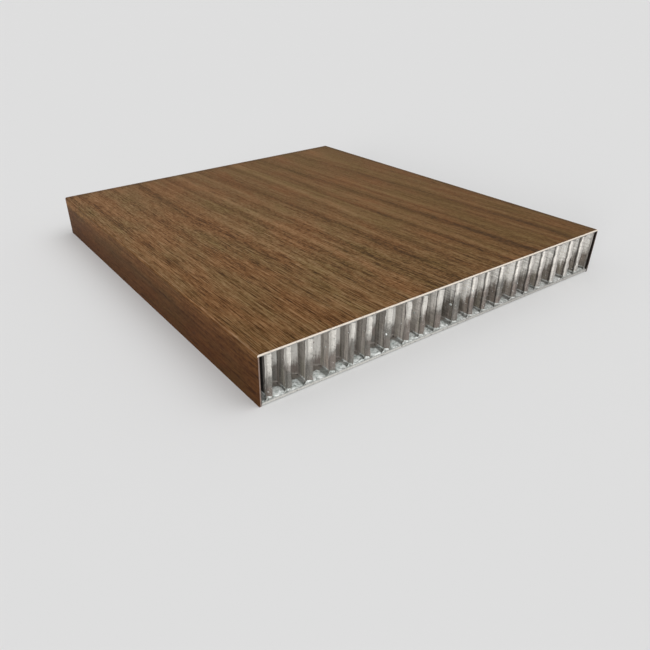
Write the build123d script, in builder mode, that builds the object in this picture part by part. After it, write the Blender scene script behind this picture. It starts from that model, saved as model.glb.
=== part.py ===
from build123d import *
import math
import os

# A cut sample of an aluminium honeycomb sandwich panel. A face sheet is folded down round a core of
# corrugated foil ribbons, and a flat back sheet closes the underside. Three sides are folded, and the
# fourth, at -Y, is sawn open. Millimetres, +Z up, origin at the middle of the footprint on the ground.

# Overall size
panel_width = 175.0
panel_depth = 195.0
panel_height = 20.0

# Face sheet, a tray with three flanges
face_thickness = 0.8
bend_inner_radius = 0.3
corner_seam = 0.25
seam_relief = 0.5

# Back sheet, lying between the flanges
back_thickness = 0.8
back_recess = 0.4
back_clearance = 0.15

# Bond films between the skins and the core
face_bond_thickness = 0.2
back_bond_thickness = 0.2

# Foil core. A ribbon is as wide in X as its corrugation is high.
cell_side = 5.5
foil_thickness = 0.08
core_gap = 0.5
nominal_opening = 4.25
first_ribbon_left = 2.7

# From the saw cut back to the first row of bonded nodes
node_depth = 1.15

# The core isn't pulled open evenly: its ribbons are wide and narrow by turns, over a period counted in ribbons
unevenness = 0.15
uneven_period = 7.3
uneven_start = 5.5

cut_face = -panel_depth / 2
bend_outer_radius = bend_inner_radius + face_thickness
inside_x = panel_width / 2 - face_thickness
inside_y = panel_depth / 2 - face_thickness
back_bottom = back_recess
back_bond_bottom = back_bottom + back_thickness
core_bottom = back_bond_bottom + back_bond_thickness
face_bond_bottom = panel_height - face_thickness - face_bond_thickness
core_height = face_bond_bottom - core_bottom
core_left = core_gap - inside_x
core_right = -core_left
core_back = inside_y - core_gap


def rectangle_between(x_low, x_high, y_low, y_high):
    """A rectangle in the open sketch, given by its sides."""
    with Locations(((x_low + x_high) / 2, (y_low + y_high) / 2)):
        Rectangle(x_high - x_low, y_high - y_low)


def flat_layer(label, bottom, thickness, half_width, back_edge):
    """A flat rectangular layer that starts at the saw cut."""
    with BuildPart() as layer:
        with BuildSketch(Plane.XY.offset(bottom)):
            rectangle_between(-half_width, half_width, cut_face, back_edge)
        extrude(amount=thickness)
    layer.part.label = label
    return layer.part


def folded_tray():
    """The face sheet: a top, side flanges that run to the back, and a back flange between them."""
    with BuildPart() as tray:
        with BuildSketch():
            Rectangle(panel_width, panel_depth)
        extrude(amount=panel_height)
        top_edges = tray.edges().group_by(Axis.Z)[-1]
        fillet(top_edges.sort_by(Axis.Y)[1:], radius=bend_outer_radius)
        offset(amount=-face_thickness, openings=[tray.faces().sort_by(Axis.Z)[0], tray.faces().sort_by(Axis.Y)[0]])
        with BuildSketch() as seams:
            for side in (-1, 1):
                with Locations((side * (inside_x - corner_seam / 2), inside_y)):
                    Rectangle(corner_seam, 2 * (bend_inner_radius + seam_relief + face_thickness))
        extrude(amount=panel_height, mode=Mode.SUBTRACT)
    tray.part.label = "face_sheet"
    return tray.part


def ribbon_widths():
    """The X width of each ribbon after the first, which together fill the block to its right side."""
    span = core_right - core_left - first_ribbon_left
    count = 2 * round(span / nominal_opening / 2)
    shares = [1 + unevenness * math.cos(2 * math.pi * (i - uneven_start) / uneven_period) for i in range(1, count + 1)]
    return [span * share / sum(shares) for share in shares]


def foil_ribbon(label, left, right, starts_right):
    """One corrugated strip. Its flats lie on its left and right limits and are bonded to its neighbours."""
    low = left + foil_thickness / 2
    high = right - foil_thickness / 2
    opening = nominal_opening - foil_thickness
    lean = math.sqrt(cell_side**2 - opening**2)
    flat_is_high = starts_right
    y = cut_face + node_depth - 2 * (cell_side + lean)
    points = []
    while y < core_back + lean:
        x = high if flat_is_high else low
        points += [(x, y), (x, y + cell_side)]
        y += cell_side + lean
        flat_is_high = not flat_is_high
    with BuildPart() as ribbon:
        with BuildSketch(Plane.XY.offset(core_bottom)):
            with BuildLine():
                centre = Polyline(*points)
                offset(centre, amount=foil_thickness / 2, side=Side.BOTH, kind=Kind.INTERSECTION)
            make_face()
        extrude(amount=core_height)
        with BuildSketch(Plane.XY.offset(core_bottom)):
            rectangle_between(core_left, core_right, cut_face, core_back)
        extrude(amount=core_height, mode=Mode.INTERSECT)
    ribbon.part.label = label
    return ribbon.part


def core_ribbons():
    """The expanded core, from the left flange to the right one."""
    widths = ribbon_widths()
    full_first = widths[0]
    left = core_left + first_ribbon_left - full_first
    ribbons = []
    for i, width in enumerate([full_first] + widths):
        ribbons.append(foil_ribbon(f"core_ribbon_{i + 1:02d}", left, left + width, i % 2 == 0))
        left += width
    return ribbons


pieces = [
    folded_tray(),
    flat_layer("face_bond_film", face_bond_bottom, face_bond_thickness, core_right, core_back),
    *core_ribbons(),
    flat_layer("back_bond_film", back_bond_bottom, back_bond_thickness, core_right, core_back),
    flat_layer("back_sheet", back_bottom, back_thickness, inside_x - back_clearance, inside_y - back_clearance),
]

os.makedirs("parts", exist_ok=True)
for piece in pieces:
    export_step(piece, f"parts/{piece.label}.step")
print("pieces", len(pieces))
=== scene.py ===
import bmesh
import bpy
from mathutils import Matrix, Vector, noise
from mathutils.bvhtree import BVHTree


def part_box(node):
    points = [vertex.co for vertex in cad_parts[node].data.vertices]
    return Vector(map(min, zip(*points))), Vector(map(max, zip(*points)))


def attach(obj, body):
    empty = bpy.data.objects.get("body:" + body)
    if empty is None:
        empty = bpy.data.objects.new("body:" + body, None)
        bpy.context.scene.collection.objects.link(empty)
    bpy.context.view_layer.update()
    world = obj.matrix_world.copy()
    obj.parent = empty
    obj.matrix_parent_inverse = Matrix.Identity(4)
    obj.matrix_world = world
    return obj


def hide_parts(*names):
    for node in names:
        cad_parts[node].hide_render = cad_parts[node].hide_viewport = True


# A cut sample of aluminium honeycomb panel with a wood-look face, seen from its sawn corner.
# Lengths are metres. Patterns, and every value with mm in its name, are in millimetres.
# In a ramp, the numbers after x, y, z, across, along, drop and depth are places in millimetres, and those
# after a mask are shares from 0 to 1.

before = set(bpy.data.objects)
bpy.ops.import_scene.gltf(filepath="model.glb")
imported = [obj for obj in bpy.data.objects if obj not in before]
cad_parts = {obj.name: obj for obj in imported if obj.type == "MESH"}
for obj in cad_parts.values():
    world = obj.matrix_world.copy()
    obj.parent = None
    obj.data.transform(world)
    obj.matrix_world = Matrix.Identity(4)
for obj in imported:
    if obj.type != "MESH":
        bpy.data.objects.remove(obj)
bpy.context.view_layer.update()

MM = 0.001


def srgb(red, green, blue):
    """A linear colour with alpha, from 0 to 255 screen values."""
    def linear(value):
        value /= 255
        return value / 12.92 if value <= 0.04045 else ((value + 0.055) / 1.055) ** 2.4
    return (linear(red), linear(green), linear(blue), 1.0)


# The panel: half its width and depth, its height, its skin, and the skin with its inner fold
side_mm = 87.5
end_mm = 97.5
top_mm = 20.0
skin_mm = 0.8
fold_mm = 1.1
# How near a plane counts as on it
hair_mm = 0.01

# Places of the saw cut and the core, as packed
cut_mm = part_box("face_sheet")[0].y / MM
core_low_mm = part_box("core_ribbon_02")[0].z / MM
core_high_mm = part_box("core_ribbon_02")[1].z / MM
ribbon_names = sorted(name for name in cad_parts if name.startswith("core_ribbon"))

# Camera
picture_px = 650
focal_px = 602.44
centre_px = (274.31, 360.03)
camera_place_mm = (-165.68, -231.94, 118.43)
camera_right = (0.83621, -0.54763, -0.02928)
camera_down = (-0.31785, -0.44045, -0.83963)
camera_forward = (0.44691, 0.71141, -0.54237)
sensor_mm = 36.0

# Studio
backdrop_grey = 0.716
floor_grey = 0.79
floor_size = 60.0
floor_roughness = 0.9
sky_light = 0.5
# Each lamp: where it shines from, its strength, and how soft it is in radians
lamps = {
    "high_lamp": ((0.5, -0.35, 1.0), 0.75, 0.9),
    "front_lamp": ((-0.42, -0.75, 0.5), 1.0, 0.35),
    "side_lamp": ((-0.80, -0.42, 0.15), 1.2, 0.3),
}

# Mottle: how often each size of patch changes for each millimetre, its detail, roughness and distortion
mottle_sizes = {
    "Broad": (0.12, 3.0, 0.55, 0.0),
    "Middle": (0.6, 4.0, 0.6, 0.4),
    "Fine": (3.2, 3.0, 0.6, 0.0),
}
# Scratches: how each set is turned, in radians, and its place in the noise
scratch_sets = ((0.35, 3.0), (-0.9, 11.0))
# How far the saw's lines lean, in radians
saw_lean = 0.35

# Wood-look film: tones from dark to pale, tints that multiply them, the colour of pores and of the painted
# shade on the right and back folds, and the painted sheen on the left fold
wood_stops = (
    (0.0, srgb(60, 40, 14)),
    (0.27, srgb(95, 65, 31)),
    (0.67, srgb(124, 95, 61)),
    (1.0, srgb(143, 115, 80)),
)
wood_right = (1.0, 0.97, 0.90, 1.0)
wood_red = (1.10, 0.965, 0.93, 1.0)
wood_olive = (0.92, 0.99, 0.90, 1.0)
pore_and_fold_shade = srgb(48, 32, 18)
fold_sheen = srgb(152, 126, 100)
skin_gloss = 0.07

# How far the grain leans to the right on its way to the cut
grain_lean_mm = 14.0
# Layers of the grain: how often they change across and along it for each millimetre, their detail, their
# place in the noise, and how far they swing the tone
grain_layers = {
    "clouded": (0.03, 0.003, 2.0, 1.3, 0.03),
    "banded": (0.17, 0.004, 2.0, 4.1, 0.05),
    "striped": (0.42, 0.004, 2.0, 7.7, 0.05),
    "near_stripes": (0.42, 0.004, 2.0, 7.7, 0.06),
    "strands": (0.8, 0.004, 2.0, 5.3, 0.10),
    "fibres": (1.9, 0.02, 2.0, 6.4, 0.11),
    "specks": (1.5, 0.6, 2.0, 3.6, 0.22),
    "finest": (3.3, 0.09, 1.0, 8.1, 0.36),
}
# Rows of printed pores: their spacing, how often they change along the grain, and their place in the noise
pore_rows = {"Width": 0.45, "Stretch": 0.12, "Seed": 5.5}

# Grain lines of the wood-look film: the place across the panel at the folded back edge and at the cut, how
# far a line bows between the two, its half width, and how dark it is at the back and at the cut.
# A negative darkness makes a pale line.
grain_line_columns = ("Back", "Cut", "Bow", "Half width", "Dark at back", "Dark at cut")
grain_lines_mm = [
    (-47.0, -38.5, -0.9, 2.6, 0.18, 0.09),
    (-28.5, -22.0, 0.2, 2.2, 0.12, 0.08),
    (-16.5, -8.5, 0.2, 1.9, 0.11, 0.14),
    (-9.0, 3.0, 1.1, 2.4, 0.10, 0.22),
    (25.5, 31.0, -1.6, 2.0, 0.10, 0.14),
    (30.5, 46.0, 0.2, 2.3, 0.10, 0.15),
    (57.5, 70.5, 0.6, 2.2, 0.03, 0.14),
    (70.0, 76.0, 0.0, 1.5, 0.00, 0.12),
    (-80.5, -78.0, 0.6, 1.7, 0.02, 0.14),
    (-59.0, -57.0, 0.0, 1.6, 0.03, 0.11),
    (-54.0, -49.0, -0.5, 1.2, -0.14, 0.10),
    (9.5, 21.0, -0.4, 1.4, 0.08, 0.02),
    (-42.0, -32.0, -0.6, 2.0, -0.06, -0.14),
    (-22.0, -19.0, 0.2, 2.0, -0.14, -0.09),
    (-12.0, -5.0, 0.4, 1.7, -0.11, -0.13),
    (16.0, 18.0, 0.2, 2.1, -0.18, -0.15),
    (44.5, 56.0, -0.2, 2.4, -0.06, -0.11),
    (-84.0, -82.0, 0.0, 1.6, -0.04, -0.13),
    (-73.0, -69.0, -0.4, 1.8, -0.06, -0.11),
    (69.5, 73.0, 0.0, 2.2, -0.09, -0.01),
    (5.0, 9.0, 0.3, 1.6, -0.03, -0.10),
    (28.0, 34.0, 0.5, 1.5, -0.02, -0.12),
    (-93.0, -93.1, 0.0, 0.7, 0.03, 0.16),
    (-95.6, -95.4, 0.0, 0.6, 0.04, 0.13),
    (-91.0, -90.7, 0.0, 0.5, 0.00, 0.12),
]

# Painted shade of a folded flange, as pairs of how far below the top it is and how much of its colour it
# keeps
painted_drop_shades_mm = ((0.15, 1.0), (0.4, 0.66), (1.0, 0.63), (5.0, 0.61), (5.8, 0.53), (6.8, 0.52), (8.0, 0.44),
                   (10.0, 0.42), (14.0, 0.39), (16.0, 0.38), (17.0, 0.34), (20.0, 0.34))
# A painted sheen on the ridge at the fold
ridge_sheen_tint = (1.0, 1.06, 1.25, 1.0)
# Tints of the painted shade: at the top of a flange, at its foot, and towards the cut
shade_tint_top = (1.0, 0.94, 0.84, 1.0)
shade_tint_foot = (1.0, 0.76, 0.47, 1.0)
shade_tint_front = (1.02, 0.985, 0.93, 1.0)

# Bare metal of the face sheet. Pairs run from the low to the high end of a mask.
skin_cut = (srgb(222, 208, 192), srgb(252, 244, 232))
skin_cut_spot = srgb(150, 132, 118)
left_flange_cut = (srgb(104, 88, 80), srgb(168, 150, 140))
# Painted shade on the right flange's cut edge, near black above and greyer at its foot
right_flange_cut_shade = (srgb(26, 20, 18), srgb(112, 106, 100))
skin_inside = (srgb(128, 126, 122), srgb(176, 174, 170))
# The inside of the right flange: painted light in its upper half, and painted shade at its lip by the cut
flange_inside_painted_light = (srgb(112, 106, 100), srgb(212, 206, 201))
flange_lip_shade = srgb(30, 25, 22)

# Foil: its own colours, painted reflection and painted shade, and tints that multiply them. A stub is the
# short end of a cell wall at the cut, and a flat is the bonded wall behind it.
foil_high = srgb(246, 243, 237)
# Painted reflection: the warm grey foot of the stubs
foil_reflection_warm = srgb(124, 111, 103)
foil_reflection_cool = srgb(116, 114, 108)
# Painted shade on the flats at the left, all the way up
foil_flat_shade_left = srgb(178, 171, 163)
# Painted reflection: the grey foot of the flats at the right
foil_flat_reflection = srgb(134, 126, 118)
# Dark marks on the foil, and painted shade in the slits and in the end cell at the left
foil_marks_and_shade = srgb(72, 67, 62)
foil_slit_shade = srgb(48, 43, 40)
foil_end_cell_shade = srgb(30, 28, 27)
foil_warm = (1.0, 0.93, 0.89, 1.0)
foil_olive = (0.93, 0.95, 0.87, 1.0)
foil_sawn = (0.82, 0.81, 0.80, 1.0)
foil_sawn_right = (0.88, 0.87, 0.86, 1.0)
# Tints of the painted shade on the stubs at the cut
stub_shade_left = (0.74, 0.74, 0.73, 1.0)
stub_shade_right = (0.56, 0.55, 0.55, 1.0)
stub_shade_edge = (1.0, 0.99, 0.98, 1.0)
# Patterns of the foil: how often they change on each axis for each millimetre, detail, roughness, distortion
foil_patterns = {
    "streaks": ((1.3, 1.3, 0.05), 3.0, 0.6, 0.0),
    "hairlines": ((5.0, 5.0, 0.12), 2.0, 0.6, 0.0),
    "creases": ((0.4, 0.16, 1.5), 3.0, 0.65, 0.3),
    "hue": ((0.55, 0.3, 0.08), 2.0, 0.5, 0.0),
}

# Bond film
film_pale = (srgb(188, 198, 193), srgb(244, 246, 243))
film_dull = srgb(150, 162, 158)
film_right = srgb(150, 146, 142)
film_thin = srgb(112, 108, 103)
# Painted shade deep in the cells, and under the face sheet
film_deep_shade = srgb(160, 152, 144)
film_shade_under_skin = srgb(92, 86, 80)

# Mill finish of the back sheet
mill_face = (srgb(176, 175, 172), srgb(212, 211, 208))
mill_patch = srgb(158, 156, 152)
mill_scuff = srgb(228, 227, 224)
mill_cut = (srgb(158, 156, 150), srgb(232, 231, 225))
mill_cut_spot = srgb(104, 99, 93)
mill_cut_right = srgb(128, 122, 117)

# Foil at the saw cut: how deep it is crumpled, by how much, and how ragged its edge is
crumple_depth_mm = 7.5
crumple_size_mm = 0.2
ragged_edge_mm = 0.45
ragged_depth_mm = 1.3
# The films hold the foil up to this height, down to this share of the crumpling
held_height_mm = 2.0
held_share = 0.25
slice_depths_mm = (0.25, 0.7, 1.5, 2.6, 4.2, 6.4)
slice_step_mm = 1.1
last_slice_mm = 0.3

# Adhesive creeping up the foil's feet: heights above the film, and how far it stands out at each
bead_profile_mm = ((0.0, 0.5), (0.16, 0.26), (0.38, 0.12), (0.75, 0.02))
bead_depth_mm = 9.0
bead_first_slice_mm = 0.35
bead_slice_step_mm = 0.7
bead_slices = 12
# Behind this depth a bead is thinner, by this share
bead_thin_depth_mm = 1.6
bead_thin_share = 0.45

# Heaps of adhesive: half their width and depth, how far behind the cut their middle is, their height at most
# and as a share at least, and how far their foot is sunk into the film before it is sawn off
heap_half_width_mm = 2.7
heap_half_depth_mm = 2.6
heap_behind_mm = 1.9
heap_height_mm = 1.5
heap_lowest = 0.15
heap_sunk_mm = 0.04
# The power that squares a ball's outline
heap_squareness = 0.6
# A blob in the gap at the left flange: its place across, its radius, and how far it is in and up
blob_across_mm = -85.95
blob_radius_mm = 0.45
blob_shift_mm = 0.2

# Larger drops on the foil, as the place in the cut and the radius
glue_drops_mm = [
    (-1.8, 10.9, 0.55),
    (-34.0, 9.0, 0.4),
    (-61.0, 13.5, 0.3),
    (-66.0, 17.0, 0.28),
    (10.0, 13.0, 0.35),
    (19.0, 8.4, 0.35),
    (-21.0, 13.5, 0.34),
]
# Saw crumbs, spread evenly by steps of the golden ratio
crumb_count = 46
crumb_steps = (0.618034, 0.381966)
crumb_left_mm = -84
crumb_spread_mm = 168
crumb_lowest_mm = 4.0
crumb_rise_mm = 12.5
crumb_radius_mm = 0.14

# Seed of the luck in the shapes and places of heaps and drops
luck_seed = 1

# Points closer than this are one, and faces that meet at a smaller angle are one
weld_mm = 0.001
flat_angle = 0.02


# Shader helpers

def add(tree, kind, inputs=None, **settings):
    """One shader node. An input takes a number, a colour or another node's output."""
    node = tree.nodes.new("ShaderNode" + kind)
    for name, value in settings.items():
        setattr(node, name, value)
    feed(tree, node, inputs or {})
    return node


def feed(tree, node, inputs):
    """Joins outputs, or sets values, to a node's sockets."""
    for socket, value in inputs.items():
        if isinstance(value, bpy.types.NodeSocket):
            tree.links.new(value, node.inputs[socket])
        else:
            node.inputs[socket].default_value = value


def calc(tree, operation, a, b=0.0, clamp=False):
    """One Math node's output."""
    return add(tree, "Math", {0: a, 1: b}, operation=operation, use_clamp=clamp).outputs[0]


def total(tree, first, *others):
    """A sum of several outputs."""
    for other in others:
        first = calc(tree, "ADD", first, other)
    return first


def times(tree, first, *others):
    """A product of several outputs."""
    for other in others:
        first = calc(tree, "MULTIPLY", first, other)
    return first


def less(tree, a, b):
    """One output less another."""
    return calc(tree, "SUBTRACT", a, b)


def scaled(tree, colour, amount):
    """A colour or a place times a number."""
    return add(tree, "VectorMath", {0: colour, "Scale": amount}, operation="SCALE").outputs[0]


def vector(tree, x, y, z):
    """A vector from three numbers or outputs."""
    return add(tree, "CombineXYZ", {0: x, 1: y, 2: z}).outputs[0]


def stretched(tree, place, x_scale, y_scale, z_scale):
    """A place scaled by its own amount on each axis, to draw a pattern out."""
    inputs = {0: place, 1: (x_scale, y_scale, z_scale)}
    return add(tree, "VectorMath", inputs, operation="MULTIPLY").outputs[0]


def clouds(tree, coords, scale=1.0, detail=2.0, roughness=0.5, distortion=0.0):
    """A noise mask, about 0.5 in the middle."""
    inputs = {"Vector": coords, "Scale": scale, "Detail": detail, "Roughness": roughness,
              "Distortion": distortion}
    return add(tree, "TexNoise", inputs).outputs["Fac"]


def ramp(tree, value, low, high, to_low=0.0, to_high=1.0, smooth=True):
    """The value between low and high, stretched over to_low to to_high."""
    kind = "SMOOTHSTEP" if smooth else "LINEAR"
    inputs = {"Value": value, "From Min": low, "From Max": high, "To Min": to_low, "To Max": to_high}
    return add(tree, "MapRange", inputs, interpolation_type=kind, clamp=True).outputs[0]


def around(tree, mask, size, spread=0.14):
    """A mask about 0.5 turned into a swing of size either way. A small spread makes it crisp."""
    return ramp(tree, mask, 0.5 - spread, 0.5 + spread, -size, size, smooth=False)


def mix(tree, factor, a, b, blend="MIX"):
    """Two colours mixed by a mask."""
    node = add(tree, "Mix", {0: factor, 6: a, 7: b}, data_type="RGBA", blend_type=blend, clamp_factor=True)
    return node.outputs[2]


def mix_value(tree, factor, a, b):
    """Two numbers mixed by a mask."""
    return add(tree, "Mix", {0: factor, 2: a, 3: b}, data_type="FLOAT", clamp_factor=True).outputs[0]


def tones(tree, value, stops):
    """A colour by a mask, through stops that run from dark to pale."""
    node = add(tree, "ValToRGB", {"Fac": value})
    elements = node.color_ramp.elements
    for _ in stops[2:]:
        elements.new(0.5)
    for element, (place, colour) in zip(elements, stops):
        element.position = place
        element.color = colour
    return node.outputs["Color"]


def place_mm(tree):
    """The object's own coordinates in millimetres, whole and as x, y and z."""
    coords = add(tree, "TexCoord").outputs["Object"]
    place = scaled(tree, coords, 1 / MM)
    return place, add(tree, "SeparateXYZ", {0: place}).outputs


def at_cut(tree, y):
    """1 on the saw cut and 0 behind it."""
    return calc(tree, "LESS_THAN", y, hair_mm - end_mm)


def new_material(name):
    """An empty material and its Principled shader."""
    material = bpy.data.materials.new(name)
    material.use_nodes = True
    tree = material.node_tree
    tree.nodes.clear()
    shader = add(tree, "BsdfPrincipled")
    output = add(tree, "OutputMaterial")
    tree.links.new(shader.outputs[0], output.inputs[0])
    return material, tree, shader


def plug(tree, shader, **sources):
    """Joins outputs to the shader's sockets, which are named with an underline for each space."""
    feed(tree, shader, {name.replace("_", " "): source for name, source in sources.items()})


def bump(tree, height, distance_mm, strength=1.0):
    """A normal from a height mask that is distance_mm high."""
    inputs = {"Height": height, "Distance": distance_mm * MM, "Strength": strength}
    return add(tree, "Bump", inputs).outputs[0]


# Studio

def make_camera():
    """A camera with the photograph's place, turn, focal length and centre."""
    data = bpy.data.cameras.new("photo_camera")
    data.sensor_width = sensor_mm
    data.lens = focal_px / picture_px * sensor_mm
    data.shift_x = (picture_px / 2 - centre_px[0]) / picture_px
    data.shift_y = (centre_px[1] - picture_px / 2) / picture_px
    data.clip_start = MM
    camera = bpy.data.objects.new("photo_camera", data)
    axes = Matrix((Vector(camera_right), -Vector(camera_down), -Vector(camera_forward))).transposed()
    camera.matrix_world = Matrix.Translation(Vector(camera_place_mm) * MM) @ axes.to_4x4()
    bpy.context.scene.collection.objects.link(camera)
    bpy.context.scene.camera = camera


def make_floor():
    """A wide pale floor under the panel."""
    mesh = bpy.data.meshes.new("floor")
    bm = bmesh.new()
    bmesh.ops.create_grid(bm, x_segments=1, y_segments=1, size=floor_size / 2)
    bm.to_mesh(mesh)
    bm.free()
    floor = bpy.data.objects.new("floor", mesh)
    bpy.context.scene.collection.objects.link(floor)
    material, tree, shader = new_material("pale_floor")
    grey = (floor_grey, floor_grey, floor_grey, 1)
    plug(tree, shader, Base_Color=grey, Roughness=floor_roughness, Specular_IOR_Level=0.0)
    mesh.materials.append(material)


def make_sky():
    """Even light from all round. The camera and glossy metal see a paler backdrop than it lights with."""
    world = bpy.data.worlds.new("studio")
    bpy.context.scene.world = world
    world.use_nodes = True
    tree = world.node_tree
    tree.nodes.clear()
    path = add(tree, "LightPath").outputs
    shown = calc(tree, "MAXIMUM", path["Is Camera Ray"], path["Is Glossy Ray"])
    shown = calc(tree, "MAXIMUM", shown, path["Is Transmission Ray"])
    lit = (sky_light, sky_light, sky_light, 1)
    seen = (backdrop_grey, backdrop_grey, backdrop_grey, 1)
    sky = add(tree, "Background", {"Color": mix(tree, shown, lit, seen), "Strength": 1.0})
    output = add(tree, "OutputWorld")
    tree.links.new(sky.outputs[0], output.inputs[0])


def make_lamps():
    """Three soft lamps."""
    for name, (shines_from, strength, softness) in lamps.items():
        data = bpy.data.lights.new(name, "SUN")
        data.energy = strength
        data.angle = softness
        lamp = bpy.data.objects.new(name, data)
        lamp.rotation_euler = Vector(shines_from).to_track_quat("Z", "Y").to_euler()
        bpy.context.scene.collection.objects.link(lamp)


# Node groups: the effects that several finishes share, and the dashes and lines of the grain

def new_group(name, numbers, outputs, has_place=True):
    """An empty node group. Numbers are its inputs with their defaults, after a place in millimetres."""
    tree = bpy.data.node_groups.new(name, "ShaderNodeTree")
    if has_place:
        tree.interface.new_socket("Place", in_out="INPUT", socket_type="NodeSocketVector")
    for socket, value in numbers.items():
        made = tree.interface.new_socket(socket, in_out="INPUT", socket_type="NodeSocketFloat")
        made.default_value = value
    for socket in outputs:
        tree.interface.new_socket(socket, in_out="OUTPUT", socket_type="NodeSocketFloat")
    return tree, tree.nodes.new("NodeGroupInput").outputs, tree.nodes.new("NodeGroupOutput").inputs


def use_group(tree, group, inputs):
    """Places a group and gives its outputs."""
    node = tree.nodes.new("ShaderNodeGroup")
    node.node_tree = group
    feed(tree, node, inputs)
    return node.outputs


def build_mottle():
    """Soft patches in three sizes."""
    tree, taken, given = new_group("mottle", {"Scale": 1.0}, list(mottle_sizes))
    place = scaled(tree, taken["Place"], taken["Scale"])
    for size, look in mottle_sizes.items():
        tree.links.new(clouds(tree, place, *look), given[size])
    return tree


def build_scratches():
    """Hair scratches in two directions, gathered in patches."""
    tree, taken, given = new_group("scratches", {"Amount": 0.5}, ["Mask"])
    place = taken["Place"]
    found = []
    for turn, seed in scratch_sets:
        inputs = {0: place, "Rotation": (turn, 0.4 * turn, turn), "Location": (seed, seed, seed)}
        turned = add(tree, "Mapping", inputs).outputs[0]
        line = clouds(tree, stretched(tree, turned, 5.0, 0.22, 5.0), 1.0, 2.0, 0.5)
        found.append(ramp(tree, line, 0.66, 0.72))
    patches = ramp(tree, clouds(tree, place, 0.25, 2.0), 0.42, 0.62)
    both = calc(tree, "MAXIMUM", *found)
    tree.links.new(times(tree, both, patches, taken["Amount"]), given["Mask"])
    return tree


def build_saw_marks():
    """Slanting lines left by the saw across a cut edge, and smeared dark spots."""
    tree, taken, given = new_group("saw_marks", {}, ["Lines", "Spots"])
    leaning = add(tree, "Mapping", {0: taken["Place"], "Rotation": (0.0, saw_lean, 0.0)}).outputs[0]
    lines = clouds(tree, stretched(tree, leaning, 3.5, 1.0, 0.5), 1.0, 3.0, 0.65)
    spots = clouds(tree, stretched(tree, taken["Place"], 0.7, 1.0, 1.6), 1.0, 3.0, 0.6)
    tree.links.new(lines, given["Lines"])
    tree.links.new(ramp(tree, spots, 0.56, 0.68), given["Spots"])
    return tree


def build_dashes():
    """Straight rows of short dashes, as the printed pores of the film. The rows are a Width apart."""
    numbers = {"Across": 0.0, "Along": 0.0, "Width": 0.4, "Stretch": 0.2, "Seed": 0.0}
    tree, taken, given = new_group("dashes", numbers, ["Mask"], has_place=False)
    slow = vector(tree, times(tree, taken["Across"], 0.11), times(tree, taken["Along"], 0.02), taken["Seed"])
    swayed = total(tree, taken["Across"], times(tree, clouds(tree, slow, 1.0, 1.0), 0.6))
    row = calc(tree, "FLOOR", calc(tree, "DIVIDE", swayed, taken["Width"]))
    apart = times(tree, row, 7.31)
    place = vector(tree, apart, times(tree, taken["Along"], taken["Stretch"]), taken["Seed"])
    tree.links.new(clouds(tree, place, 1.0, 1.0), given["Mask"])
    return tree


def build_grain_line():
    """One line of the grain, round a centre line that bows and wavers, broken up along its length."""
    numbers = {"Across": 0.0, "Along": 0.0, "Back": 0.0, "Cut": 0.0, "Bow": 0.0, "Half width": 1.0,
               "Dark at back": 0.1, "Dark at cut": 0.1}
    tree, taken, given = new_group("grain_line", numbers, ["Dark"], has_place=False)
    across, along = taken["Across"], taken["Along"]
    share = ramp(tree, along, end_mm, -end_mm, smooth=False)
    seed = times(tree, taken["Back"], 3.7)

    # The centre line runs from Back to Cut, and wavers by up to 2 mm either way
    bow = times(tree, taken["Bow"], times(tree, share, less(tree, 1.0, share)))
    travel = times(tree, less(tree, taken["Cut"], taken["Back"]), total(tree, share, bow))
    waver = clouds(tree, vector(tree, seed, times(tree, along, 0.03), 0.0), 1.0, 3.0)
    centre = total(tree, taken["Back"], travel, times(tree, less(tree, waver, 0.5), 4.0))

    # The line is darkest at its centre, and fades out at about one and a half half widths
    aside = calc(tree, "DIVIDE", less(tree, across, centre), taken["Half width"])
    near = calc(tree, "SUBTRACT", 1.0, times(tree, times(tree, aside, aside), 0.4), clamp=True)
    change = less(tree, taken["Dark at cut"], taken["Dark at back"])
    depth = total(tree, taken["Dark at back"], times(tree, change, share))
    broken = clouds(tree, vector(tree, times(tree, across, 0.25), seed, times(tree, along, 0.025)), 1.0, 3.0)
    broken = ramp(tree, broken, 0.25, 0.7, 0.55, 1.35)
    tree.links.new(times(tree, near, near, depth, broken), given["Dark"])
    return tree


# Wood-look film

def strands(tree, grain, across_scale, along_scale, detail, seed):
    """A noise mask drawn out along the grain."""
    across, along = grain
    place = vector(tree, times(tree, across, across_scale), times(tree, along, along_scale), seed)
    return clouds(tree, place, 1.0, detail, 0.55)


def grain_layer(tree, grain, name):
    """One layer of the grain, as a swing of the tone, from its table."""
    *look, swing = grain_layers[name]
    return around(tree, strands(tree, grain, *look), swing)


def slow_tone(tree, across, along):
    """Places on the top that are darker than the rest."""
    right = times(tree, ramp(tree, across, -20.0, 60.0), -0.09)
    near_corner = times(tree, ramp(tree, along, 0.0, -60.0), ramp(tree, across, -30.0, -85.0, 0.0, -0.06))
    beside_fold = times(tree, ramp(tree, across, -78.0, -83.0), ramp(tree, across, -87.4, -87.2),
                        ramp(tree, along, -20.0, -60.0, 0.0, -0.14))
    behind_cut = times(tree, ramp(tree, along, -20.0, -70.0), ramp(tree, across, -50.0, 0.0),
                       ramp(tree, across, 45.0, 75.0, -0.08, -0.01))
    return total(tree, right, near_corner, beside_fold, behind_cut)


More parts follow.
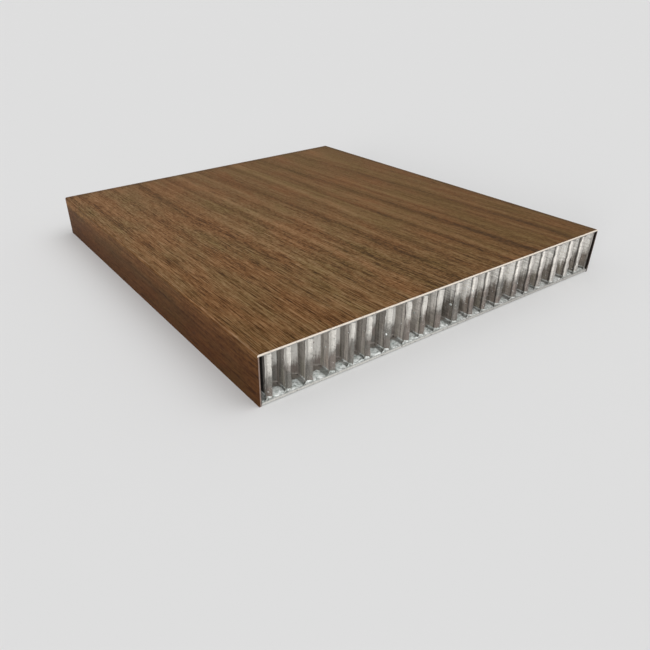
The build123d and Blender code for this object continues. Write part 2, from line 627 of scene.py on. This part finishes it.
def near_grain(tree, grain, across, along):
    """The crisp part of the grain. Towards the near corner it is stronger and finer."""
    corner_place = total(tree, across, times(tree, along, 0.5))
    nearness = ramp(tree, corner_place, 40.0, -70.0, 0.4, 1.0)
    closest = ramp(tree, corner_place, -30.0, -100.0)
    coarse = total(tree, grain_layer(tree, grain, "strands"), grain_layer(tree, grain, "near_stripes"))
    coarse = times(tree, coarse, less(tree, 1.0, times(tree, closest, 0.85)))
    specks = times(tree, grain_layer(tree, grain, "specks"), ramp(tree, closest, 0.0, 1.0, 1.0, 0.55))
    finest = times(tree, grain_layer(tree, grain, "finest"), ramp(tree, corner_place, 40.0, -90.0, 0.4, 1.0),
                   ramp(tree, across, -92.0, -87.5, 0.4, 1.0))
    return times(tree, total(tree, coarse, grain_layer(tree, grain, "fibres"), specks, finest), nearness)


def placed_lines(tree, across, along):
    """The grain lines of the table. They are stronger at the right."""
    lines = 0.0
    group = build_grain_line()
    for line in grain_lines_mm:
        inputs = {"Across": across, "Along": along, **dict(zip(grain_line_columns, line))}
        lines = total(tree, lines, use_group(tree, group, inputs)["Dark"])
    return times(tree, lines, ramp(tree, across, -10.0, 30.0, 1.0, 1.4))


def wood_tone(tree, grain, across, along):
    """Tone of the grain from 0, dark, to 1, pale."""
    layers = [grain_layer(tree, grain, name) for name in ("clouded", "banded", "striped")]
    tone = total(tree, slow_tone(tree, across, along), *layers, near_grain(tree, grain, across, along))
    return total(tree, less(tree, tone, placed_lines(tree, across, along)), 0.5)


def wood_pores(tree, grain):
    """Dashes of the printed pores, thick in some bands and thin in others."""
    inputs = {"Across": grain[0], "Along": grain[1], **pore_rows}
    dashes = use_group(tree, groups["dashes"], inputs)["Mask"]
    where = ramp(tree, strands(tree, grain, 0.11, 0.01, 2.0, 9.2), 0.35, 0.62, 0.25, 1.0)
    return times(tree, ramp(tree, dashes, 0.62, 0.74), where)


def wood_colour(tree, across, along):
    """Colour and relief of the printed grain, by the place on the unfolded sheet."""
    leaning = ramp(tree, across, -75.0, 5.0, smooth=False)
    share = ramp(tree, along, end_mm, -end_mm, smooth=False)
    grain = (less(tree, across, times(tree, share, grain_lean_mm, leaning)), along)
    pores = wood_pores(tree, grain)
    colour = tones(tree, wood_tone(tree, grain, across, along), wood_stops)

    patch = vector(tree, times(tree, across, 0.08), times(tree, along, 0.022), 3.0)
    patch = total(tree, clouds(tree, patch, 1.0, 3.0, 0.6), times(tree, across, -0.0008))
    colour = mix(tree, ramp(tree, patch, 0.46, 0.66), colour, wood_red, "MULTIPLY")
    colour = mix(tree, ramp(tree, patch, 0.50, 0.34), colour, wood_olive, "MULTIPLY")
    colour = mix(tree, times(tree, pores, 0.5), colour, pore_and_fold_shade)
    colour = mix(tree, ramp(tree, across, -20.0, 60.0), colour, wood_right, "MULTIPLY")
    relief = less(tree, times(tree, strands(tree, grain, 2.7, 0.045, 2.0, 2.9), 0.5), pores)
    return colour, relief


def shade_by_drop(tree, drop):
    """The painted shade of a flange at each height, from its table."""
    first = painted_drop_shades_mm[0][1]
    steps = [ramp(tree, drop, high, low, 0.0, before - after, smooth=False)
             for (high, before), (low, after) in zip(painted_drop_shades_mm, painted_drop_shades_mm[1:])]
    return less(tree, first, total(tree, *steps))


def painted_flank_light(tree, x, y, drop):
    """Painted light and shade on a side flange: a painted sheen on the ridge at the fold, a paler band near
    the far end, then painted shade, darker and warmer downwards.
    """
    ridge = times(tree, ramp(tree, calc(tree, "ABSOLUTE", x), 86.55, 86.8), ramp(tree, drop, 0.4, 0.1),
                  ramp(tree, y, 40.0, -70.0, 0.0, 0.16))
    band = times(tree, ramp(tree, drop, 0.8, 2.2), ramp(tree, drop, 5.5, 2.6),
                 ramp(tree, y, 20.0, 75.0, 0.0, 0.4))
    tint = mix(tree, ramp(tree, drop, 0.3, 15.0), shade_tint_top, shade_tint_foot)
    tint = mix(tree, ramp(tree, y, 60.0, -90.0), tint, shade_tint_front, "MULTIPLY")
    tint = mix(tree, ramp(tree, drop, 0.1, 0.4), ridge_sheen_tint, tint)
    return scaled(tree, tint, total(tree, shade_by_drop(tree, drop), ridge, band))


def paint_fold_sheen_and_shade(tree, colour, x, y, drop):
    """A painted sheen along the left fold near the cut, and painted shade along the right and back folds."""
    left_fold_sheen = times(tree, ramp(tree, x, -86.7, -87.0), ramp(tree, drop, 0.5, 0.25),
                      ramp(tree, y, -40.0, -90.0, 0.0, 0.36))
    colour = mix(tree, left_fold_sheen, colour, fold_sheen)
    # Painted shade along the right and back folds
    far_fold_shade = calc(tree, "MAXIMUM", ramp(tree, x, 83.8, 85.0), ramp(tree, y, 92.0, 95.0))
    far_fold_shade = times(tree, far_fold_shade, ramp(tree, drop, 1.2, 0.4), 0.3)
    return mix(tree, far_fold_shade, colour, pore_and_fold_shade)


def paint_wood(tree, x, y, z):
    """Colour and relief of the wood-look film, which runs on from the top down its flanges, where it takes
    painted shade and a painted sheen.
    """
    drop = less(tree, top_mm, z)
    on_side = calc(tree, "GREATER_THAN", calc(tree, "ABSOLUTE", x), side_mm - fold_mm)
    on_back = times(tree, calc(tree, "GREATER_THAN", y, end_mm - fold_mm), less(tree, 1.0, on_side))
    across = total(tree, x, times(tree, calc(tree, "SIGN", x), times(tree, drop, on_side)))
    along = total(tree, y, times(tree, drop, on_back))
    colour, relief = wood_colour(tree, across, along)
    # Painted shade and a painted sheen on the side flanges
    shaded = mix(tree, 1.0, colour, painted_flank_light(tree, x, y, drop), "MULTIPLY")
    colour = mix(tree, on_side, colour, shaded)
    return paint_fold_sheen_and_shade(tree, colour, x, y, drop), relief


# Face sheet

def sawn_skin(tree, marks, x, z, on_flange):
    """The sawn edge of the face sheet: pale along the top, darker down the left flange, and painted shade,
    near black, down the right flange.
    """
    cut = mix(tree, marks["Lines"], *skin_cut)
    cut = mix(tree, times(tree, marks["Spots"], 0.45), cut, skin_cut_spot)
    left = mix(tree, marks["Lines"], *left_flange_cut)
    right = mix(tree, ramp(tree, z, 3.6, 2.4), *right_flange_cut_shade)
    return mix(tree, on_flange, cut, mix(tree, calc(tree, "GREATER_THAN", x, 0.0), left, right))


def inner_skin(tree, place, x, y, z):
    """The bare inside of the face sheet. The right flange has painted light in its upper half and painted
    shade at its lip by the cut.
    """
    patches = use_group(tree, groups["mottle"], {"Place": place, "Scale": 1.0})
    inside = mix(tree, patches["Middle"], *skin_inside)
    flange = mix(tree, ramp(tree, z, 8.0, 13.0), *flange_inside_painted_light)
    flange = mix(tree, ramp(tree, y, -96.5, -96.8), flange, flange_lip_shade)
    return mix(tree, calc(tree, "GREATER_THAN", x, side_mm - fold_mm), inside, flange)


def film_mask(tree, skin, on_edge, on_flange):
    """1 where the face sheet has its film: all over its outside, and as a thin line at its cut edges."""
    outside = calc(tree, "LESS_THAN", skin, 0.5)
    line = calc(tree, "LESS_THAN", skin, total(tree, times(tree, on_flange, 0.22), 0.1))
    return mix_value(tree, on_edge, outside, line)


def paint_face_sheet():
    """Wood-look film on the outside of the face sheet, bare aluminium at its cut edges and inside."""
    material, tree, shader = new_material("wood_look_face")
    place, (x, y, z) = place_mm(tree)
    wood, relief = paint_wood(tree, x, y, z)
    side = calc(tree, "ABSOLUTE", x)
    skin = calc(tree, "MINIMUM", less(tree, top_mm, z), less(tree, end_mm, y))
    skin = calc(tree, "MINIMUM", skin, less(tree, side_mm, side))
    on_edge = calc(tree, "MAXIMUM", at_cut(tree, y), calc(tree, "LESS_THAN", z, hair_mm))
    on_flange = times(tree, calc(tree, "GREATER_THAN", side, side_mm - skin_mm - hair_mm),
                      ramp(tree, z, 19.4, 18.9))
    filmed = film_mask(tree, skin, on_edge, on_flange)
    unfilmed = less(tree, 1.0, filmed)

    marks = use_group(tree, groups["saw_marks"], {"Place": place})
    cut = sawn_skin(tree, marks, x, z, on_flange)
    bare = mix(tree, on_edge, inner_skin(tree, place, x, y, z), cut)
    bare_rough = ramp(tree, marks["Lines"], 0.3, 0.7, 0.3, 0.5)
    rough = mix_value(tree, filmed, bare_rough, ramp(tree, relief, 0.0, 0.6, 0.62, 0.5))
    height = total(tree, times(tree, relief, filmed), times(tree, marks["Lines"], unfilmed))
    plug(tree, shader, Base_Color=mix(tree, filmed, bare, wood), Roughness=rough,
         Metallic=times(tree, unfilmed, 0.35), Specular_IOR_Level=skin_gloss,
         Normal=bump(tree, height, 0.045))
    return material


# Foil

def foil_masks(tree):
    """The places and masks that the layers of the foil share."""
    place, (x, y, z) = place_mm(tree)
    depth = less(tree, y, -end_mm)
    masks = {"x": x, "y": y, "z": z, "depth": depth}
    for name, (scales, *look) in foil_patterns.items():
        masks[name] = clouds(tree, stretched(tree, place, *scales), 1.0, *look)
    masks["luck"] = clouds(tree, vector(tree, times(tree, x, 0.16), 0.0, 0.0), 1.0, 1.0)
    masks["scuffs"] = use_group(tree, groups["scratches"], {"Place": place, "Amount": 0.8})["Mask"]
    masks["rightwards"] = ramp(tree, x, -30.0, 30.0)
    masks["on_stub"] = calc(tree, "LESS_THAN", depth, 1.1)
    masks["on_flat"] = times(tree, ramp(tree, depth, 1.0, 1.3), ramp(tree, depth, 6.75, 6.5))
    for size, mask in use_group(tree, groups["mottle"], {"Place": place, "Scale": 1.0}).items():
        masks[size] = mask
    return masks


def above_dark_reflection(tree, at):
    """0 on the foot of the foil, painted dark as a painted reflection, and 1 on its bright head. Deeper in,
    the dark foot ends lower.
    """
    reach = total(tree, at["z"], times(tree, at["depth"], 0.62), around(tree, at["luck"], 1.6),
                  around(tree, at["streaks"], 1.1), around(tree, at["Middle"], 0.9),
                  ramp(tree, at["x"], -50.0, 5.0, 0.0, -1.3), ramp(tree, at["x"], 25.0, 50.0, 0.0, 1.0))
    return ramp(tree, reach, 9.0, 14.0)


def foil_base(tree, at):
    """Bright head and a foot painted dark as a painted reflection, apart for the stubs at the cut and the
    flats behind them, which at the left are painted in shade all the way up.
    """
    on_right = ramp(tree, at["x"], -28.0, 8.0)
    high = mix(tree, at["on_flat"], foil_high, mix(tree, on_right, foil_flat_shade_left, foil_high))
    low_flat = mix(tree, on_right, foil_flat_shade_left, foil_flat_reflection)
    low_flat = mix(tree, ramp(tree, at["hue"], 0.52, 0.66, 0.0, 0.8), low_flat, foil_warm, "MULTIPLY")
    low_flat = mix(tree, ramp(tree, at["hue"], 0.48, 0.34, 0.0, 0.8), low_flat, foil_olive, "MULTIPLY")
    low_stub = mix(tree, ramp(tree, at["Broad"], 0.4, 0.6), foil_reflection_warm, foil_reflection_cool)
    low_stub = mix(tree, ramp(tree, at["x"], 45.0, 62.0, 0.1, 0.75), low_stub, foil_high)
    low = mix(tree, at["on_flat"], low_stub, low_flat)
    return mix(tree, above_dark_reflection(tree, at), low, high)


def shade_stubs(tree, at, colour):
    """Paints shade on the stubs at the cut, none on the deeper edge of those at the right, and painted light
    and shade along creases at the right.
    """
    crease_shading = scaled(tree, colour, ramp(tree, at["creases"], 0.3, 0.7, 0.8, 1.12, smooth=False))
    colour = mix(tree, times(tree, at["on_stub"], at["rightwards"]), colour, crease_shading)
    right = mix(tree, ramp(tree, at["depth"], 0.5, 0.8), stub_shade_right, stub_shade_edge)
    stub_shading = mix(tree, at["rightwards"], stub_shade_left, right)
    return mix(tree, at["on_stub"], colour, mix(tree, 1.0, colour, stub_shading, "MULTIPLY"))


def shade_flats(tree, at, colour):
    """Gives each flat its own light or shadow, with streaks at the left and creases at the right."""
    streaks = times(tree, around(tree, at["streaks"], 0.42, 0.2), ramp(tree, at["x"], -20.0, 20.0, 1.0, 0.4))
    creases = times(tree, around(tree, at["creases"], 0.32, 0.2), ramp(tree, at["x"], -50.0, 20.0, 0.3, 1.0))
    shadow = total(tree, ramp(tree, at["luck"], 0.35, 0.65, 0.74, 1.12), around(tree, at["Fine"], 0.1),
                   streaks, creases)
    return mix(tree, at["on_flat"], colour, scaled(tree, colour, shadow))


def mark_foil(tree, at, colour):
    """Dark streaks, patches and hairlines, and pale scuffs."""
    for name, low, high, strength in (("streaks", 0.56, 0.74, 0.35), ("Middle", 0.58, 0.72, 0.4),
                                      ("hairlines", 0.6, 0.75, 0.3)):
        colour = mix(tree, ramp(tree, at[name], low, high, 0.0, strength), colour, foil_marks_and_shade)
    return mix(tree, at["scuffs"], colour, foil_high)


def shade_cut(tree, at, colour):
    """The foil darker near the sawn edge, and painted shade in the end cell at the left and in the slits
    beside the bonded bars.
    """
    sawn = mix(tree, at["rightwards"], foil_sawn, foil_sawn_right)
    colour = mix(tree, ramp(tree, at["y"], -95.9, -96.5, 0.0, 0.8), colour, sawn, "MULTIPLY")
    end_cell_shade = times(tree, ramp(tree, at["x"], -83.1, -83.4), ramp(tree, at["y"], -94.6, -93.6), 0.9)
    colour = mix(tree, end_cell_shade, colour, foil_end_cell_shade)
    slit_shade = times(tree, ramp(tree, at["y"], -96.45, -96.2), ramp(tree, at["y"], -95.4, -95.9),
                 ramp(tree, at["luck"], 0.4, 0.6, 0.98, 0.7), calc(tree, "LESS_THAN", at["x"], 83.0))
    return mix(tree, slit_shade, colour, mix(tree, at["rightwards"], foil_marks_and_shade, foil_slit_shade))


def paint_foil():
    """Lacquered foil: bright towards the face sheet, and a warm grey towards the back sheet that is painted
    reflection.
    """
    material, tree, shader = new_material("core_foil")
    at = foil_masks(tree)
    colour = foil_base(tree, at)
    for layer in (shade_stubs, shade_flats, mark_foil, shade_cut):
        colour = layer(tree, at, colour)
    height = total(tree, at["streaks"], times(tree, at["Middle"], 0.9), times(tree, at["creases"], 0.8),
                   times(tree, at["Fine"], 0.15))
    plug(tree, shader, Base_Color=colour, Metallic=0.12,
         Roughness=ramp(tree, at["Middle"], 0.3, 0.7, 0.34, 0.5), Normal=bump(tree, height, 0.3))
    return material


# Bond film and back sheet

def paint_film():
    """Pale cured adhesive, lumpy and a little greenish, with painted shade deep in the cells and under the
    face sheet.
    """
    material, tree, shader = new_material("bond_film")
    place, (x, y, z) = place_mm(tree)
    patches = use_group(tree, groups["mottle"], {"Place": place, "Scale": 1.6})
    luck = clouds(tree, vector(tree, times(tree, x, 0.13), 4.0, 0.0), 1.0, 1.0)
    colour = mix(tree, ramp(tree, patches["Middle"], 0.3, 0.6), *film_pale)
    colour = mix(tree, ramp(tree, luck, 0.4, 0.62, 0.35, 0.0), colour, film_dull)
    colour = mix(tree, ramp(tree, x, -20.0, 40.0, 0.0, 0.45), colour, film_right)
    thin = ramp(tree, total(tree, z, around(tree, patches["Middle"], 0.25)), 2.0, 1.5, 0.0, 0.55)
    colour = mix(tree, times(tree, thin, ramp(tree, z, 17.0, 16.0)), colour, film_thin)
    # Painted shade deep in the cells
    deep = ramp(tree, total(tree, y, around(tree, patches["Middle"], 0.8)), -93.0, -92.3)
    colour = mix(tree, times(tree, deep, 0.93), colour, film_deep_shade)
    # Painted shade under the face sheet
    colour = mix(tree, ramp(tree, z, 17.6, 18.4, 0.0, 0.7), colour, film_shade_under_skin)
    height = total(tree, patches["Middle"], times(tree, patches["Fine"], 0.3))
    plug(tree, shader, Base_Color=colour, Roughness=ramp(tree, patches["Middle"], 0.3, 0.7, 0.3, 0.5),
         Normal=bump(tree, height, 0.5))
    return material


def paint_back_sheet():
    """Mill finish aluminium with rolling lines, and a sawn edge."""
    material, tree, shader = new_material("mill_aluminium")
    place, (x, y, z) = place_mm(tree)
    rolled = clouds(tree, stretched(tree, place, 2.4, 0.03, 1.0), 1.0, 3.0, 0.6)
    patches = use_group(tree, groups["mottle"], {"Place": place, "Scale": 0.25})
    scuffs = use_group(tree, groups["scratches"], {"Place": place, "Amount": 0.5})["Mask"]
    marks = use_group(tree, groups["saw_marks"], {"Place": place})
    face = mix(tree, rolled, *mill_face)
    face = mix(tree, ramp(tree, patches["Middle"], 0.45, 0.7, 0.0, 0.35), face, mill_patch)
    face = mix(tree, scuffs, face, mill_scuff)
    cut = mix(tree, marks["Lines"], *mill_cut)
    cut = mix(tree, times(tree, marks["Spots"], 0.8), cut, mill_cut_spot)
    cut = mix(tree, ramp(tree, x, -30.0, 40.0, 0.0, 0.4), cut, mill_cut_right)
    sawn = at_cut(tree, y)
    rough = mix_value(tree, sawn, ramp(tree, patches["Middle"], 0.3, 0.7, 0.32, 0.46), 0.4)
    height = mix_value(tree, sawn, total(tree, times(tree, rolled, 0.4), scuffs), marks["Lines"])
    plug(tree, shader, Base_Color=mix(tree, sawn, face, cut), Metallic=mix_value(tree, sawn, 0.85, 0.3),
         Roughness=rough, Normal=bump(tree, height, 0.03))
    return material


def paint_sheets_and_films():
    """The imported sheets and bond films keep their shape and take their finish."""
    finishes = {"face_sheet": paint_face_sheet(), "back_sheet": paint_back_sheet(),
                "face_bond_film": film, "back_bond_film": film}
    for name, material in finishes.items():
        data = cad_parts[name].data
        data.materials.clear()
        data.materials.append(material)


# Mesh helpers

def wobble(x, y, z):
    """Smooth noise from -1 to 1."""
    return noise.noise(Vector((x, y, z)))


def merged_copy(node):
    """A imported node's shape as one closed skin, in millimetres."""
    bm = bmesh.new()
    bm.from_mesh(node.data)
    bmesh.ops.scale(bm, vec=(1 / MM, 1 / MM, 1 / MM), verts=bm.verts)
    bmesh.ops.remove_doubles(bm, verts=bm.verts, dist=weld_mm)
    bmesh.ops.dissolve_limit(bm, angle_limit=flat_angle, verts=bm.verts, edges=bm.edges)
    return bm


def slice_up(bm, axis, places, reach_mm=None):
    """Cuts the faces along an axis at each place. With a reach, only those that start that near the cut."""
    for place in places:
        faces = [f for f in bm.faces if reach_mm is None or min(v.co.y for v in f.verts) < cut_mm + reach_mm]
        parts = list({g for f in faces for g in (*f.verts, *f.edges)}) + faces
        point = Vector((0, 0, 0))
        point[axis] = place
        normal = Vector((0, 0, 0))
        normal[axis] = 1
        bmesh.ops.bisect_plane(bm, geom=parts, plane_co=point, plane_no=normal)


def saw_off(bm, place, kept_side):
    """Cuts away what lies behind a plane and closes the cut."""
    parts = list(bm.verts) + list(bm.edges) + list(bm.faces)
    made = bmesh.ops.bisect_plane(bm, geom=parts, dist=weld_mm, plane_co=place, plane_no=kept_side,
                                  clear_inner=True)
    rim = [part for part in made["geom_cut"] if isinstance(part, bmesh.types.BMEdge)]
    bmesh.ops.holes_fill(bm, edges=rim, sides=0)


def finish_piece(bm, name, material, smooth=False):
    """Turns a bmesh in millimetres into a piece that rides on the panel."""
    bmesh.ops.scale(bm, vec=(MM, MM, MM), verts=bm.verts)
    bmesh.ops.triangulate(bm, faces=bm.faces)
    bm.normal_update()
    mesh = bpy.data.meshes.new(name)
    bm.to_mesh(mesh)
    bm.free()
    mesh.polygons.foreach_set("use_smooth", [smooth] * len(mesh.polygons))
    mesh.materials.append(material)
    piece = bpy.data.objects.new(name, mesh)
    bpy.context.scene.collection.objects.link(piece)
    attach(piece, "root")
    return piece


# Foil ribbons

def crumple(bm):
    """Pushes the foil about near the saw cut and leaves its edge ragged. The feet stay on the films."""
    for vert in bm.verts:
        x, y, z = vert.co
        depth = y - cut_mm
        if depth > crumple_depth_mm:
            continue
        near = 1 - depth / crumple_depth_mm
        edge = max(0.0, 1 - depth / ragged_depth_mm)
        loose = min(1.0, (z - core_low_mm) / held_height_mm, (core_high_mm - z) / held_height_mm)
        hold = held_share + (1 - held_share) * loose
        folds = wobble(x * 0.5, y * 0.35, z * 0.2) * 1.4
        folds += wobble(x * 1.3, y * 0.9 + 7, z * 0.4) * (0.3 + 0.5 * edge)
        back = ragged_edge_mm * edge * (0.45 + wobble(x * 0.8, 9.0, z * 0.6))
        vert.co.x = x + crumple_size_mm * near * hold * folds
        vert.co.y = y + max(0.0, back)


def slice_heights():
    """Heights at which the ribbons are sliced, so that they can crumple."""
    heights = []
    height = core_low_mm + slice_step_mm
    while height < core_high_mm - last_slice_mm:
        heights.append(height)
        height += slice_step_mm
    return heights


def make_ribbons():
    """Each foil ribbon again, crumpled where the saw went through."""
    pieces = []
    for name in ribbon_names:
        bm = merged_copy(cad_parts[name])
        slice_up(bm, 1, [cut_mm + depth for depth in slice_depths_mm])
        slice_up(bm, 2, slice_heights(), crumple_depth_mm - 1)
        crumple(bm)
        piece = finish_piece(bm, name.replace("core", "crumpled"), foil)
        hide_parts(name)
        pieces.append(piece)
    return pieces


# Adhesive

def bead_width(height):
    """How far the bead stands out at a height above its film."""
    for (low, wide), (high, narrow) in zip(bead_profile_mm, bead_profile_mm[1:]):
        if height <= high:
            return wide + (narrow - wide) * (height - low) / (high - low)
    return bead_profile_mm[-1][1]


def fatten(foot, film_mm):
    """Moves a foot's skin outwards by the bead's profile, with lumps. Nothing passes the saw cut."""
    sideways = {v: Vector((v.normal.x, v.normal.y, 0)).normalized() for v in foot.verts}
    for vert, way in sideways.items():
        lumps = 1.0 + 1.3 * wobble(vert.co.x * 0.7, vert.co.y * 0.7, film_mm)
        shift = bead_width(abs(vert.co.z - film_mm)) * max(0.3, lumps)
        if vert.co.y > cut_mm + bead_thin_depth_mm:
            shift *= bead_thin_share
        vert.co.x += way.x * shift
        vert.co.y = max(cut_mm, vert.co.y + way.y * shift)


def add_bead(bm, node, film_mm, up):
    """The foot of one ribbon, fattened into a lumpy bead of adhesive."""
    foot = merged_copy(node)
    saw_off(foot, (0, 0, film_mm + up * bead_profile_mm[-1][0]), (0, 0, -up))
    saw_off(foot, (0, cut_mm + bead_depth_mm, 0), (0, -1, 0))
    if foot.verts:
        slices = [cut_mm + bead_first_slice_mm + bead_slice_step_mm * step for step in range(bead_slices)]
        slice_up(foot, 1, slices)
        slice_up(foot, 2, [film_mm + up * height for height, _ in bead_profile_mm[1:-1]])
        foot.normal_update()
        fatten(foot, film_mm)
        crumple(foot)
        scrap = bpy.data.meshes.new("scrap")
        foot.to_mesh(scrap)
        bm.from_mesh(scrap)
        bpy.data.meshes.remove(scrap)
    foot.free()


def make_beads():
    """Adhesive that has crept up the foil's feet, on the back film and under the face sheet."""
    for name, film_mm, up in (("back_glue_beads", core_low_mm, 1), ("face_glue_beads", core_high_mm, -1)):
        bm = bmesh.new()
        for ribbon in ribbon_names:
            add_bead(bm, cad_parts[ribbon], film_mm, up)
        finish_piece(bm, name, film, smooth=True)


def add_heap(bm, x):
    """One heap of adhesive with a squarish foot and a lumpy top, at a place across the panel."""
    luck = noise.noise_vector(Vector((x * 0.37, 2.0, 5.0)))
    for vert in bmesh.ops.create_icosphere(bm, subdivisions=4, radius=1.0)["verts"]:
        across, along, up = (abs(value) ** heap_squareness * (1 if value > 0 else -1) for value in vert.co)
        place = Vector((x - 0.2 + 0.5 * luck.x + across * (heap_half_width_mm + 0.5 * luck.y),
                        cut_mm + heap_behind_mm + along * heap_half_depth_mm, 0.0))
        lump = 0.4 * noise.noise(place * 0.9) + 0.2 * noise.noise(place * 2.3)
        share = max(heap_lowest, 0.55 + 0.3 * along + 0.2 * luck.z + lump)
        height = max(0.0, up) * share * heap_height_mm
        vert.co = (place.x, place.y, core_low_mm + height + min(0.0, up) - heap_sunk_mm)


def make_mounds():
    """Heaps of adhesive on the back film in the open cells. They rise away from the saw cut."""
    bm = bmesh.new()
    for name in ribbon_names[1::2]:
        add_heap(bm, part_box(name)[1].x / MM)
    blob = bmesh.ops.create_icosphere(bm, subdivisions=3, radius=blob_radius_mm)["verts"]
    blob_place = (blob_across_mm, cut_mm + blob_shift_mm, core_low_mm + blob_shift_mm)
    bmesh.ops.translate(bm, verts=blob, vec=blob_place)
    saw_off(bm, (0, 0, core_low_mm), (0, 0, 1))
    saw_off(bm, (0, cut_mm, 0), (0, 1, 0))
    finish_piece(bm, "glue_mounds", film, smooth=True)


def speck_spots():
    """The larger drops and the saw crumbs, as the place in the cut and the radius."""
    spots = list(glue_drops_mm)
    for count in range(crumb_count):
        luck = noise.noise_vector(Vector((count * 7.31, 1.7, 4.2)))
        x = crumb_left_mm + crumb_spread_mm * ((count * crumb_steps[0]) % 1.0)
        z = crumb_lowest_mm + crumb_rise_mm * ((count * crumb_steps[1] + 0.4 * luck.x) % 1.0)
        spots.append((x, z, crumb_radius_mm + 0.12 * abs(luck.y)))
    return spots


def foil_seen_at(trees, x, z):
    """Where the photograph's line of sight through a place in the cut meets the foil, in metres."""
    start = Vector(camera_place_mm) * MM
    way = (Vector((x, cut_mm, z)) * MM - start).normalized()
    hits = [hit for hit in (tree.ray_cast(start, way) for tree in trees) if hit[0] is not None]
    if not hits:
        return None
    place, normal, _, _ = min(hits, key=lambda hit: hit[3])
    return place, -normal if normal.dot(way) > 0 else normal


def add_speck(bm, place, normal, radius, seed):
    """One flat lump stuck on the foil, behind the saw cut."""
    drop = bmesh.ops.create_icosphere(bm, subdivisions=2, radius=radius)["verts"]
    for vert in drop:
        lump = 1 + 0.5 * noise.noise(vert.co * 1.6 / radius + seed)
        vert.co = Vector((vert.co.x * lump, vert.co.y * lump * 1.25, vert.co.z * 0.5))
    turn = Vector((0, 0, 1)).rotation_difference(normal).to_matrix()
    bmesh.ops.rotate(bm, verts=drop, cent=(0, 0, 0), matrix=turn)
    bmesh.ops.translate(bm, verts=drop, vec=place / MM + normal * radius * 0.15)
    for vert in drop:
        vert.co.y = max(cut_mm, vert.co.y)


def make_specks(ribbons):
    """Drops of adhesive and saw crumbs that stick to the foil near the cut."""
    depsgraph = bpy.context.evaluated_depsgraph_get()
    trees = [BVHTree.FromObject(piece, depsgraph) for piece in ribbons]
    bm = bmesh.new()
    for x, z, radius in speck_spots():
        seen = foil_seen_at(trees, x, z)
        if seen:
            add_speck(bm, *seen, radius, Vector((x, z, 0)))
    finish_piece(bm, "glue_specks", film, smooth=True)


noise.seed_set(luck_seed)
make_camera()
make_floor()
make_sky()
make_lamps()
groups = {"mottle": build_mottle(), "scratches": build_scratches(), "saw_marks": build_saw_marks(),
          "dashes": build_dashes()}
foil, film = paint_foil(), paint_film()
paint_sheets_and_films()
ribbons = make_ribbons()
make_beads()
make_mounds()
make_specks(ribbons)
bpy.context.scene.view_settings.view_transform = "Standard"
